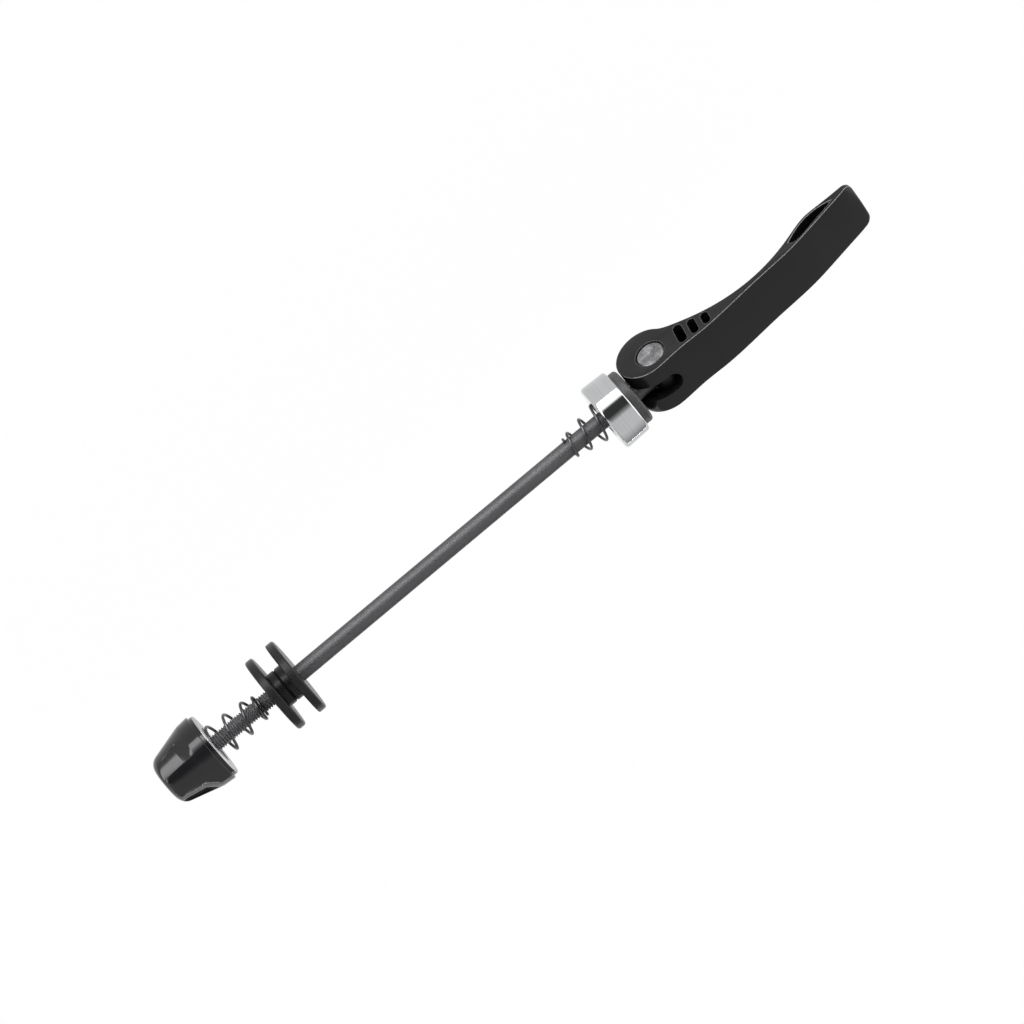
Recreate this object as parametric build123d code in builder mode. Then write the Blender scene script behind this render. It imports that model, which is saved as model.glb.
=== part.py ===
from build123d import *
import math
import os

# Quick release skewer with an open cam lever, a transport spool and two conical springs.
# Millimetres. The origin is the centre of the cup's clamp face, +X runs along the rod to the nut,
# +Z is up when the skewer lies on a bench, and the lever points to -X half way through its swing.

# Rod and pivot barrel
rod_diameter = 5.0
rod_into_nut = 12.7
rod_past_pivot = 3.0
rod_end_chamfer = 0.6
barrel_diameter = 8.8
barrel_recess = 0.3
barrel_chamfer = 0.45
barrel_dimple_diameter = 1.6
barrel_dimple_depth = 0.4

# Clearances
rod_seat_clearance = 0.02
pivot_clearance = 0.05
bore_clearance = 0.08
seat_clearance = 0.05
spring_clearance = 0.15
spring_seat_gap = 0.1
fork_clearance = 0.35
cam_gap = 0.3

# Clamp cup and cam saddle
cup_length = 8.55
cup_face_radius = 10.6
cup_back_radius = 10.25
cup_edge_radius = 0.9
cup_floor = 2.6
saddle_radius = 8.75
saddle_proud = 2.68
saddle_edge_radius = 1.0

# Lever head, an eccentric round cam on the pivot
cam_radius = 8.86
cam_offset_axial = 1.16
cam_offset_down = 1.65
cam_leave_angle = -36.0

# Lever arm, measured from the pivot towards the tip
lever_reach = 73.35
lever_width = 15.6
lever_corner_radius = 2.4
lever_edge_radius = 0.5
lever_plan_margin = 0.05
crown_rise = 14.3
crown_dip = 0.45
throat_from_pivot = 11.7
throat_depth = 10.1
neck_from_pivot = 18.4
neck_depth = 7.0
arch_before_eye = 15.0
arch_thickness = 2.3
arch_crown = 5.5

# Finger eye and tip
eye_length = 16.6
eye_height = 3.5
eye_middle_height = -0.1
eye_strip = 1.0
eye_root_height = 1.6
eye_root_cover = 2.75
eye_root_floor = 1.5
eye_end_height = -0.7
eye_end_cover = 1.5
eye_to_tip = 7.2
tip_thickness = 1.2
tip_drop = 2.6
tip_round = 0.5
tip_run = (0.92, -0.4)
eye_root_run = (0.3, 1)

# Slots through the lever's side: distance from the pivot, height, width and length of each
side_slots = ((10.0, 1.65, 2.6, 7.6), (14.05, 2.75, 2.35, 6.1), (18.15, 3.5, 2.3, 4.7))
side_slot_lean = 10.0

# Transport spool, two halves back to back
grip_length = 141.45
spool_flange_diameter = 24.0
spool_flange_thickness = 2.6
spool_flange_edge = 0.7
spool_groove = 4.9
spool_hub_diameter = 11.0
spool_hub_chamfer = 0.4
spool_gap = 3.25
serration_count = 80
serration_depth = 0.3
serration_width = 0.5

# Springs
cup_spring_wire = 0.8
cup_spring_length = 13.5
cup_spring_closed_turns = 0.85
cup_spring_turns = 2.41
cup_spring_start_angle = 176.0
cup_spring_big_radius = 5.5
cup_spring_flare = 1.0
nut_spring_wire = 0.85
nut_spring_length = 18.0
nut_spring_closed_turns = 1.34
nut_spring_turns = 2.72
nut_spring_start_angle = 160.0
nut_spring_big_radius = 5.3
nut_spring_flare = 0.65
spring_closed_pitch = 1.1
spring_seat_depth = 0.8

# Nut
nut_collar_radius = 11.0
nut_collar_draft = 0.4
nut_collar_length = 5.0
nut_length = 17.3
nut_end_radius = 7.2
nut_end_round = 3.8
nut_end_dome = 0.5
nut_rim_round = 0.35
flute_count = 4
flute_angle = 38.0
flute_phase = 69.0
flute_depth = 0.9
flute_end_depth = 0.45
flute_ramp = 4.2
insert_flange_radius = 10.1
insert_flange_thickness = 1.9
insert_proud = 0.4
insert_edge = 0.3
insert_hex_radius = 6.2
insert_hex_length = 8.6
lock_ring_radius = 4.4
lock_ring_length = 3.0
nut_bore_spare = 2.5

# Places along the rod
rod_radius = rod_diameter / 2
running_radius = rod_radius + bore_clearance
cup_back_x = -cup_length
saddle_face_x = cup_back_x - saddle_proud
pivot_x = saddle_face_x - cam_gap - cam_radius - cam_offset_axial
nut_face_x = grip_length
rod_tip_x = nut_face_x + rod_into_nut
nut_spring_end_x = nut_face_x + spring_seat_depth - spring_seat_gap
nut_spring_start_x = nut_spring_end_x - nut_spring_length
spool_end_x = nut_spring_start_x - spool_gap
spool_mid_x = spool_end_x - spool_flange_thickness - spool_groove / 2
barrel_length = lever_width - 2 * barrel_recess

# The lever's side view: first direction from the pivot to the tip, second direction up
lever_plane = Plane(origin=(pivot_x, 0, 0), x_dir=(-1, 0, 0), z_dir=(0, 1, 0))

os.makedirs("parts", exist_ok=True)


# Steel rod, chamfered where the nut starts. Its fine thread is left smooth here.
with BuildPart() as skewer_rod:
    with BuildSketch(Plane.YZ.offset(pivot_x - rod_past_pivot)):
        Circle(rod_radius)
    extrude(amount=rod_tip_x - pivot_x + rod_past_pivot)
    chamfer(skewer_rod.edges().group_by(Axis.X)[-1], rod_end_chamfer)
skewer_rod.part.label = "skewer_rod"
export_step(skewer_rod.part, "parts/skewer_rod.step")


# Cross barrel that the rod's end is fixed in and the lever turns on
with BuildPart() as pivot_barrel:
    with BuildSketch(lever_plane):
        Circle(barrel_diameter / 2)
    extrude(amount=barrel_length / 2, both=True)
    chamfer(pivot_barrel.edges().filter_by(GeomType.CIRCLE), barrel_chamfer)
    with BuildSketch(Plane.YZ.offset(pivot_x - rod_past_pivot)):
        Circle(rod_radius + rod_seat_clearance)
    extrude(amount=rod_past_pivot + barrel_diameter, mode=Mode.SUBTRACT)
    for side in (-1, 1):
        with BuildSketch(lever_plane.offset(side * barrel_length / 2)):
            Circle(barrel_dimple_diameter / 2)
        extrude(amount=-side * barrel_dimple_depth, mode=Mode.SUBTRACT)
pivot_barrel.part.label = "pivot_barrel"
export_step(pivot_barrel.part, "parts/pivot_barrel.step")


# Lever: cam head, arched arm and finger eye cast in one piece
cam_top = cam_radius - cam_offset_down
cam_leave = math.radians(cam_leave_angle)
cam_leave_point = (
    cam_radius * math.cos(cam_leave) - cam_offset_axial,
    cam_radius * math.sin(cam_leave) - cam_offset_down,
)
cam_leave_tangent = (math.sin(cam_leave), -math.cos(cam_leave))
eye_end = lever_reach - eye_to_tip
eye_start = eye_end - eye_length
eye_middle = (eye_start + eye_end) / 2
eye_quarter = (eye_start + eye_middle) / 2
eye_three_quarter = (eye_middle + eye_end) / 2
eye_top = eye_middle_height + eye_height / 2
eye_floor = eye_middle_height - eye_height / 2
eye_quarter_floor = (eye_floor + eye_root_height) / 2 - eye_strip / 2
arch_from_pivot = eye_start - arch_before_eye
tip_low = (lever_reach, -tip_drop)
tip_high = (lever_reach, tip_thickness - tip_drop)
fork_width = rod_diameter + 2 * fork_clearance
lever_plan_length = lever_reach + 2 * cam_radius

with BuildPart() as lever:
    with BuildSketch(lever_plane) as lever_outline:
        with BuildLine():
            Spline(
                (-cam_offset_axial, cam_top),
                (crown_rise / 2, cam_top - crown_dip),
                (crown_rise, cam_top - crown_dip / 2),
                (arch_from_pivot, arch_crown),
                (eye_start, eye_root_height + eye_root_cover),
                (eye_middle, eye_top + eye_strip),
                (eye_end, eye_end_height + eye_end_cover),
                tip_high,
                tangents=((1, 0), tip_run),
            )
            Line(tip_high, tip_low)
            Spline(
                tip_low,
                (eye_three_quarter, eye_floor - eye_strip),
                (eye_middle, eye_floor - eye_strip),
                (eye_quarter, eye_quarter_floor - eye_strip),
                (eye_start, eye_root_height - eye_root_floor),
                (arch_from_pivot, arch_crown - arch_thickness),
                (neck_from_pivot, cam_top - neck_depth),
                (throat_from_pivot, cam_top - throat_depth),
                cam_leave_point,
                tangents=((-1, 0), cam_leave_tangent),
            )
            CenterArc(
                (-cam_offset_axial, -cam_offset_down), cam_radius, cam_leave_angle, -270 - cam_leave_angle
            )
        make_face()
        fillet(lever_outline.vertices().group_by(Axis.X)[-1], tip_round)
    extrude(amount=lever_width / 2, both=True)
    fillet(lever.faces().filter_by(Axis.Y).edges(), lever_edge_radius)
    with BuildSketch(Plane.XY) as lever_plan:
        with Locations((pivot_x - lever_reach - lever_plan_margin + lever_plan_length / 2, 0)):
            Rectangle(lever_plan_length, lever_width + 2 * lever_plan_margin)
        fillet(lever_plan.vertices().group_by(Axis.X)[0], lever_corner_radius)
    extrude(amount=2 * cam_radius, both=True, mode=Mode.INTERSECT)
    with BuildSketch(lever_plane):
        Circle(barrel_diameter / 2 + pivot_clearance)
        for from_pivot, height, width, length in side_slots:
            with Locations((from_pivot, height)):
                SlotOverall(length, width, rotation=90 + side_slot_lean)
        with BuildLine():
            Spline(
                (eye_start, eye_root_height),
                (eye_middle, eye_top),
                (eye_end, eye_end_height),
                tangents=(eye_root_run, tip_run),
            )
            Spline(
                (eye_end, eye_end_height),
                (eye_three_quarter, eye_floor),
                (eye_middle, eye_floor),
                (eye_quarter, eye_quarter_floor),
                (eye_start, eye_root_height),
            )
        make_face()
    extrude(amount=lever_width, both=True, mode=Mode.SUBTRACT)
    with BuildSketch(Plane.XY):
        with Locations((pivot_x, 0)):
            Circle(fork_width / 2)
        with Locations((pivot_x + cam_radius, 0)):
            Rectangle(2 * cam_radius, fork_width)
    extrude(amount=2 * cam_radius, both=True, mode=Mode.SUBTRACT)
lever.part.label = "lever"
export_step(lever.part, "parts/lever.step")


# Plated cup that bears on the frame, with a pocket for the saddle and a seat for its spring
cup_seat_radius = cup_spring_big_radius + cup_spring_wire / 2 + spring_clearance
pocket_radius = saddle_radius + seat_clearance
with BuildPart() as clamp_cup:
    with BuildSketch(Plane.XZ) as cup_section:
        with BuildLine():
            Polyline(
                (-spring_seat_depth, running_radius),
                (-spring_seat_depth, cup_seat_radius),
                (0, cup_seat_radius),
                (0, cup_face_radius),
                (cup_back_x, cup_back_radius),
                (cup_back_x, pocket_radius),
                (-cup_floor, pocket_radius),
                (-cup_floor, running_radius),
                close=True,
            )
        make_face()
        rim_corners = cup_section.vertices().filter_by(lambda corner: corner.Y > pocket_radius)
        fillet(rim_corners, cup_edge_radius)
    revolve(axis=Axis.X)
clamp_cup.part.label = "clamp_cup"
export_step(clamp_cup.part, "parts/clamp_cup.step")


# Moulded saddle that the cam slides on, pressed into the cup's pocket
with BuildPart() as cam_saddle:
    with BuildSketch(Plane.YZ.offset(saddle_face_x)):
        Circle(saddle_radius)
        Circle(running_radius, mode=Mode.SUBTRACT)
    extrude(amount=-cup_floor - saddle_face_x)
    fillet(cam_saddle.edges().group_by(Axis.X)[0].sort_by(SortBy.RADIUS)[-1], saddle_edge_radius)
cam_saddle.part.label = "cam_saddle"
export_step(cam_saddle.part, "parts/cam_saddle.step")


def spring_path(small_x, big_x, wire, closed_turns, open_turns, start_angle, big_radius, flare):
    """Points of a left-handed conical coil that starts with closed turns at its small end."""
    points_per_turn = 16
    small_radius = rod_radius + spring_clearance + wire / 2
    closed_run = closed_turns * spring_closed_pitch * wire
    direction = 1 if big_x > small_x else -1
    free_run = abs(big_x - small_x) - wire - closed_run
    all_turns = closed_turns + open_turns
    steps = math.ceil(all_turns * points_per_turn)
    path = []
    for step in range(steps + 1):
        turn = all_turns * step / steps
        opened = max(0, turn - closed_turns) / open_turns
        closed = min(turn, closed_turns) / closed_turns
        widened = max(0, turn - closed_turns / 2) / (all_turns - closed_turns / 2)
        run = wire / 2 + closed_run * closed + free_run * opened
        radius = small_radius + (big_radius - small_radius) * widened ** flare
        angle = math.radians(start_angle - 360 * turn * direction)
        path.append((small_x + direction * run, radius * math.cos(angle), radius * math.sin(angle)))
    return path


# Small conical spring that centres the cup's end of the wheel
with BuildPart() as cup_spring:
    with BuildLine() as cup_spring_line:
        Spline(*spring_path(
            cup_spring_length - spring_seat_depth + spring_seat_gap,
            spring_seat_gap - spring_seat_depth,
            cup_spring_wire,
            cup_spring_closed_turns,
            cup_spring_turns,
            cup_spring_start_angle,
            cup_spring_big_radius,
            cup_spring_flare,
        ))
    with BuildSketch(Plane(origin=cup_spring_line.line @ 0, z_dir=cup_spring_line.line % 0)):
        Circle(cup_spring_wire / 2)
    sweep(path=cup_spring_line.line, is_frenet=True)
cup_spring.part.label = "cup_spring"
export_step(cup_spring.part, "parts/cup_spring.step")


# Longer conical spring on the nut's side
with BuildPart() as nut_spring:
    with BuildLine() as nut_spring_line:
        Spline(*spring_path(
            nut_spring_start_x,
            nut_spring_end_x,
            nut_spring_wire,
            nut_spring_closed_turns,
            nut_spring_turns,
            nut_spring_start_angle,
            nut_spring_big_radius,
            nut_spring_flare,
        ))
    with BuildSketch(Plane(origin=nut_spring_line.line @ 0, z_dir=nut_spring_line.line % 0)):
        Circle(nut_spring_wire / 2)
    sweep(path=nut_spring_line.line, is_frenet=True)
nut_spring.part.label = "nut_spring"
export_step(nut_spring.part, "parts/nut_spring.step")


def spool_section(flange_x, towards_middle):
    """Half section of one spool half, from its flange's outer face to the joint of the two halves."""
    groove_x = flange_x + towards_middle * spool_flange_thickness
    joint_x = groove_x + towards_middle * spool_groove / 2
    Polyline(
        (flange_x, running_radius),
        (flange_x, spool_flange_diameter / 2),
        (groove_x, spool_flange_diameter / 2),
        (groove_x, spool_hub_diameter / 2),
        (joint_x - towards_middle * spool_hub_chamfer, spool_hub_diameter / 2),
        (joint_x, spool_hub_diameter / 2 - spool_hub_chamfer),
        (joint_x, running_radius),
        close=True,
    )


# Spool half next to the nut
with BuildPart() as outer_spool_half:
    with BuildSketch(Plane.XZ) as outer_half_section:
        with BuildLine():
            spool_section(spool_end_x, -1)
        make_face()
        fillet(outer_half_section.vertices().group_by(Axis.Y)[-1], spool_flange_edge)
    revolve(axis=Axis.X)
outer_spool_half.part.label = "outer_spool_half"
export_step(outer_spool_half.part, "parts/outer_spool_half.step")


# Spool half on the lever's side, with radial serrations on its groove face
inner_flange_x = spool_mid_x - spool_groove / 2 - spool_flange_thickness
serrated_x = inner_flange_x + spool_flange_thickness
serration_planes = [
    Plane(
        origin=(serrated_x, 0, 0),
        x_dir=(1, 0, 0),
        z_dir=(0, math.cos(math.radians(360 * tooth / serration_count)),
               math.sin(math.radians(360 * tooth / serration_count))),
    ).offset(spool_hub_diameter / 2 + serration_width)
    for tooth in range(serration_count)
]
with BuildPart() as inner_spool_half:
    with BuildSketch(Plane.XZ) as inner_half_section:
        with BuildLine():
            spool_section(inner_flange_x, 1)
        make_face()
        fillet(inner_half_section.vertices().group_by(Axis.Y)[-1], spool_flange_edge)
    revolve(axis=Axis.X)
    with BuildSketch(*serration_planes):
        with BuildLine():
            Polyline(
                (-serration_depth, 0),
                (serration_depth, serration_width),
                (serration_depth, -serration_width),
                close=True,
            )
        make_face()
    extrude(amount=spool_flange_diameter / 2, mode=Mode.SUBTRACT)
inner_spool_half.part.label = "inner_spool_half"
export_step(inner_spool_half.part, "parts/inner_spool_half.step")


# Metal insert of the nut: a bearing flange with a seat for the spring, and a hexagon in the cap
insert_back_x = nut_face_x + insert_flange_thickness
insert_end_x = insert_back_x + insert_hex_length
nut_seat_radius = nut_spring_big_radius + nut_spring_wire / 2 + spring_clearance
with BuildPart() as nut_insert:
    with BuildSketch(Plane.YZ.offset(nut_face_x)):
        Circle(insert_flange_radius)
    extrude(amount=insert_flange_thickness)
    chamfer(nut_insert.edges().group_by(Axis.X)[0], insert_edge)
    with BuildSketch(Plane.YZ.offset(insert_back_x)):
        RegularPolygon(insert_hex_radius, 6)
    extrude(amount=insert_hex_length)
    with BuildSketch(Plane.YZ.offset(nut_face_x)):
        Circle(nut_seat_radius)
    extrude(amount=spring_seat_depth, mode=Mode.SUBTRACT)
    with BuildSketch(Plane.YZ.offset(nut_face_x)):
        Circle(running_radius)
    extrude(amount=insert_flange_thickness + insert_hex_length, mode=Mode.SUBTRACT)
nut_insert.part.label = "nut_insert"
export_step(nut_insert.part, "parts/nut_insert.step")


# Nylon ring behind the insert that grips the thread
lock_ring_end_x = insert_end_x + lock_ring_length
with BuildPart() as nut_lock_ring:
    with BuildSketch(Plane.YZ.offset(insert_end_x)):
        Circle(lock_ring_radius)
        Circle(running_radius, mode=Mode.SUBTRACT)
    extrude(amount=lock_ring_length)
nut_lock_ring.part.label = "nut_lock_ring"
export_step(nut_lock_ring.part, "parts/nut_lock_ring.step")


# Black nut cap: collar, fluted cone and domed end around the insert
cap_x = nut_face_x + insert_proud
collar_end_x = cap_x + nut_collar_length
nut_collar_end_radius = nut_collar_radius - nut_collar_draft
cap_end_x = cap_x + nut_length
cone_slope = (nut_collar_end_radius - nut_end_radius) / (cap_end_x - collar_end_x)
flute_floor_x = collar_end_x + flute_ramp
flute_end_x = cap_end_x + nut_end_dome + flute_ramp
flute_floor_radius = nut_collar_end_radius - cone_slope * flute_ramp - flute_depth
floor_slope = (flute_floor_radius - nut_end_radius + flute_end_depth) / (cap_end_x - flute_floor_x)
flute_end_radius = flute_floor_radius - floor_slope * (flute_end_x - flute_floor_x)
nut_bore_end_x = rod_tip_x + nut_bore_spare
with BuildPart() as nut_cap:
    with BuildSketch(Plane.XZ) as cap_section:
        with BuildLine():
            Polyline(
                (cap_x, 0),
                (cap_x, nut_collar_radius),
                (collar_end_x, nut_collar_end_radius),
                (cap_end_x, nut_end_radius),
                (cap_end_x + nut_end_dome, 0),
                close=True,
            )
        make_face()
        rim_corner = cap_section.vertices().sort_by(Axis.Y)[-1]
        fillet(rim_corner, nut_rim_round)
        end_corner = cap_section.vertices().filter_by(lambda corner: corner.Y > 0).sort_by(Axis.X)[-1]
        fillet(end_corner, nut_end_round)
    revolve(axis=Axis.X)
    for flute in range(flute_count):
        start = math.radians(flute_phase - flute_angle / 2 + 360 * flute / flute_count)
        with BuildSketch(Plane((0, 0, 0), (1, 0, 0), (0, -math.sin(start), math.cos(start)))):
            with BuildLine():
                Polyline(
                    (collar_end_x, nut_collar_end_radius),
                    (flute_floor_x, flute_floor_radius),
                    (flute_end_x, flute_end_radius),
                    (flute_end_x, nut_collar_radius),
                    (collar_end_x, nut_collar_radius),
                    close=True,
                )
            make_face()
        revolve(axis=Axis.X, revolution_arc=flute_angle, mode=Mode.SUBTRACT)
    with BuildSketch(Plane.YZ.offset(cap_x)):
        Circle(insert_flange_radius + seat_clearance)
    extrude(amount=insert_back_x - cap_x, mode=Mode.SUBTRACT)
    with BuildSketch(Plane.YZ.offset(insert_back_x)):
        RegularPolygon(insert_hex_radius + seat_clearance, 6)
    extrude(amount=insert_hex_length, mode=Mode.SUBTRACT)
    with BuildSketch(Plane.YZ.offset(insert_end_x)):
        Circle(lock_ring_radius + seat_clearance)
    extrude(amount=lock_ring_length, mode=Mode.SUBTRACT)
    with BuildSketch(Plane.YZ.offset(lock_ring_end_x)):
        Circle(running_radius)
    extrude(amount=nut_bore_end_x - lock_ring_end_x, mode=Mode.SUBTRACT)
nut_cap.part.label = "nut_cap"
export_step(nut_cap.part, "parts/nut_cap.step")
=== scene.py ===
import math

import bmesh
import bpy
from mathutils import Matrix, Vector


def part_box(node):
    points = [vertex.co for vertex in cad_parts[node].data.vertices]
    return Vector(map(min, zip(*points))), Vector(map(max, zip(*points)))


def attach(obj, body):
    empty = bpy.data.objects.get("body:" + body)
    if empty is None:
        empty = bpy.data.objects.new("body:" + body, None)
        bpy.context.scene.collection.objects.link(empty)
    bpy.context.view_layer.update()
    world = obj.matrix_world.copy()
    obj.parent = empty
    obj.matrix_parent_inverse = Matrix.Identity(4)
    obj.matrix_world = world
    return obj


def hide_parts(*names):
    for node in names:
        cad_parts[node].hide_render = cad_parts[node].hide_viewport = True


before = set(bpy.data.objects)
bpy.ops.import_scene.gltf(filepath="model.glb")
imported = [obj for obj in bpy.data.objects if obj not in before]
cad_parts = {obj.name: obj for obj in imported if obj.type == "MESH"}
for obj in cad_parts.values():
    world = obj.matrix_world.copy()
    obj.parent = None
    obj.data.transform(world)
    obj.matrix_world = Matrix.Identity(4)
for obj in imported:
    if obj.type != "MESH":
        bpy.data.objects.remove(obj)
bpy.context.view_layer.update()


# Skewer rod: a length of dark steel bar, ground smooth, with a rolled M5 thread on the nut's side.
# Its lever end is fixed in the pivot barrel, and its other end is chamfered to start the nut.
mm = 0.001
merge_distance = 0.002 * mm
rod_low, rod_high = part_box("skewer_rod")
rod_radius = rod_high.y / mm
rod_start_x = rod_low.x / mm
rod_tip_x = rod_high.x / mm
rod_tip_chamfer = 0.6
thread_start_x = 113.6
thread_pitch = 0.8
thread_depth = 0.46
thread_run_out = 1.6
thread_crest_share = 0.12
thread_rows_per_turn = 8
thread_sharp_angle = 50
rod_columns = 48
smooth_angle = 38


def even_angles(columns):
    return [2 * math.pi * column / columns for column in range(columns)]


def revolved(outline, angles, closed=False, bm=None):
    """Skin of (distance along X, radius) points in mm, turned about the rod.
    A radius may be a function of the angle."""
    bm = bm or bmesh.new()
    rings = []
    for along, radius in outline:
        if radius == 0:
            rings.append([bm.verts.new((along * mm, 0, 0))] * len(angles))
            continue
        ring = []
        for angle in angles:
            reach = (radius(angle) if callable(radius) else radius) * mm
            ring.append(bm.verts.new((along * mm, reach * math.cos(angle), reach * math.sin(angle))))
        rings.append(ring)
    followers = rings[1:] + rings[:1] if closed else rings[1:]
    for ring, follower in zip(rings, followers):
        for column in range(len(angles)):
            before = column - 1
            corners = (ring[before], ring[column], follower[column], follower[before])
            bm.faces.new(list(dict.fromkeys(corners)))
    return bm


def rounded(points, steps=6):
    """Outline of (x, radius, corner radius) points, with an arc at each corner that has a radius."""
    outline = []
    for index, (x, y, corner) in enumerate(points):
        if corner == 0:
            outline.append((x, y))
            continue
        here = Vector((x, y))
        back = (Vector(points[index - 1][:2]) - here).normalized()
        ahead = (Vector(points[(index + 1) % len(points)][:2]) - here).normalized()
        half = back.angle(ahead) / 2
        middle = here + (back + ahead).normalized() * corner / math.sin(half)
        first = here + back * corner / math.tan(half) - middle
        last = here + ahead * corner / math.tan(half) - middle
        for step in range(steps + 1):
            point = middle + first.normalized().slerp(last.normalized(), step / steps) * corner
            outline.append((point.x, point.y))
    return outline


def calc(tree, operation, *values):
    """Adds one Math node and returns its result."""
    node = tree.nodes.new("ShaderNodeMath")
    node.operation = operation
    for socket, value in zip(node.inputs, values):
        if isinstance(value, (int, float)):
            socket.default_value = value
        else:
            tree.links.new(value, socket)
    return node.outputs[0]


def surface_finish(
    name, dark, light, metallic, roughness, grain, relief,
    turned=False, cloud=9.0, cloud_share=0.35, specular=0.5, painted_tone=None,
):
    """Finish with fine grain and larger clouds in its colour and gloss; grain, cloud and relief are in mm.
    A turned finish has its grain in rings round the rod, as a lathe or grinder leaves it.
    A second colour paints light or shade where the mesh's attribute is 1: a painted highlight on the lever's
    edges, painted light on the thread, painted shade on the barrel."""
    tone_span = (0.35, 0.65)
    gloss_span = (0.3, 0.7)
    grain_detail = 3.0
    cloud_detail = 4.0
    material = bpy.data.materials.new(name)
    material.use_nodes = True
    tree = material.node_tree
    shader = tree.nodes["Principled BSDF"]
    shader.inputs["Metallic"].default_value = metallic
    shader.inputs["Specular IOR Level"].default_value = specular
    place = tree.nodes.new("ShaderNodeTexCoord").outputs["Object"]
    fine_place = place
    if turned:
        parts = tree.nodes.new("ShaderNodeSeparateXYZ")
        tree.links.new(place, parts.inputs[0])
        squares = [calc(tree, "MULTIPLY", parts.outputs[axis], parts.outputs[axis]) for axis in ("Y", "Z")]
        rings = tree.nodes.new("ShaderNodeCombineXYZ")
        tree.links.new(parts.outputs["X"], rings.inputs["X"])
        tree.links.new(calc(tree, "SQRT", calc(tree, "ADD", *squares)), rings.inputs["Y"])
        fine_place = rings.outputs[0]
    textures = []
    for vector, size, detail in ((fine_place, grain, grain_detail), (place, cloud, cloud_detail)):
        noise = tree.nodes.new("ShaderNodeTexNoise")
        noise.inputs["Scale"].default_value = 1 / (size * mm)
        noise.inputs["Detail"].default_value = detail
        tree.links.new(vector, noise.inputs["Vector"])
        textures.append(noise.outputs["Fac"])
    fine, cloudy = textures
    fine_part = calc(tree, "MULTIPLY", fine, 1 - cloud_share)
    cloudy_part = calc(tree, "MULTIPLY", cloudy, cloud_share)
    blend = calc(tree, "ADD", fine_part, cloudy_part)
    tone = tree.nodes.new("ShaderNodeValToRGB")
    for stop, position, shade in zip(tone.color_ramp.elements, tone_span, (dark, light)):
        stop.position = position
        stop.color = (*shade, 1)
    tree.links.new(blend, tone.inputs["Fac"])
    colour = tone.outputs["Color"]
    # Painted light and shade: a second colour where the mesh's attribute is 1.
    if painted_tone:
        painted_light = tree.nodes.new("ShaderNodeAttribute")
        painted_light.attribute_name = "painted_light"
        two_tone = tree.nodes.new("ShaderNodeMix")
        two_tone.data_type = "RGBA"
        tree.links.new(painted_light.outputs["Fac"], two_tone.inputs["Factor"])
        tree.links.new(colour, two_tone.inputs["A"])
        two_tone.inputs["B"].default_value = (*painted_tone, 1)
        colour = two_tone.outputs["Result"]
    tree.links.new(colour, shader.inputs["Base Color"])
    gloss = tree.nodes.new("ShaderNodeMapRange")
    for socket, value in zip(("From Min", "From Max", "To Min", "To Max"), (*gloss_span, *roughness)):
        gloss.inputs[socket].default_value = value
    tree.links.new(blend, gloss.inputs["Value"])
    tree.links.new(gloss.outputs["Result"], shader.inputs["Roughness"])
    bump = tree.nodes.new("ShaderNodeBump")
    bump.inputs["Distance"].default_value = relief * mm
    tree.links.new(fine, bump.inputs["Height"])
    tree.links.new(bump.outputs["Normal"], shader.inputs["Normal"])
    return material


def new_tree(name, sizes):
    """Geometry Nodes tree with a geometry input and output, and one named input for each size."""
    tree = bpy.data.node_groups.new(name, "GeometryNodeTree")
    tree.interface.new_socket("Geometry", in_out="INPUT", socket_type="NodeSocketGeometry")
    tree.interface.new_socket("Geometry", in_out="OUTPUT", socket_type="NodeSocketGeometry")
    for label, value in sizes.items():
        kind = "NodeSocketInt" if isinstance(value, int) else "NodeSocketFloat"
        tree.interface.new_socket(label, in_out="INPUT", socket_type=kind)
    tree.interface.new_socket("Finish", in_out="INPUT", socket_type="NodeSocketMaterial")
    return tree, tree.nodes.new("NodeGroupInput").outputs, tree.nodes.new("NodeGroupOutput").inputs[0]


def round_the_rod(tree, along, radius, angle):
    """Place in the tree at a distance along the rod, a radius and an angle round it."""
    place = tree.nodes.new("ShaderNodeCombineXYZ")
    tree.links.new(along, place.inputs["X"])
    tree.links.new(calc(tree, "MULTIPLY", radius, calc(tree, "COSINE", angle)), place.inputs["Y"])
    tree.links.new(calc(tree, "MULTIPLY", radius, calc(tree, "SINE", angle)), place.inputs["Z"])
    return place.outputs[0]


def finish_tree(tree, geometry, finish, result):
    """Realizes the tree's geometry, merges its seams and gives it its finish."""
    realize = tree.nodes.new("GeometryNodeRealizeInstances")
    merge = tree.nodes.new("GeometryNodeMergeByDistance")
    merge.inputs["Distance"].default_value = merge_distance
    coat = tree.nodes.new("GeometryNodeSetMaterial")
    tree.links.new(geometry, realize.inputs[0])
    tree.links.new(realize.outputs[0], merge.inputs["Geometry"])
    tree.links.new(merge.outputs[0], coat.inputs["Geometry"])
    tree.links.new(finish, coat.inputs["Material"])
    tree.links.new(coat.outputs[0], result)


def plain_mesh(made):
    """Turns an object and its modifiers into a plain mesh."""
    bpy.context.view_layer.update()
    mesh = bpy.data.meshes.new_from_object(made.evaluated_get(bpy.context.evaluated_depsgraph_get()))
    made.modifiers.clear()
    made.data = mesh
    return mesh


def solid(name, bm, material, sharp_angle=smooth_angle):
    """Object of a closed bmesh at the origin, smooth except at its sharp edges."""
    bmesh.ops.remove_doubles(bm, verts=bm.verts, dist=merge_distance)
    bmesh.ops.recalc_face_normals(bm, faces=bm.faces)
    mesh = bpy.data.meshes.new(name)
    bm.to_mesh(mesh)
    bm.free()
    mesh.shade_smooth()
    mesh.set_sharp_from_angle(angle=math.radians(sharp_angle))
    mesh.materials.append(material)
    made = bpy.data.objects.new(name, mesh)
    bpy.context.scene.collection.objects.link(made)
    return made


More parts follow.
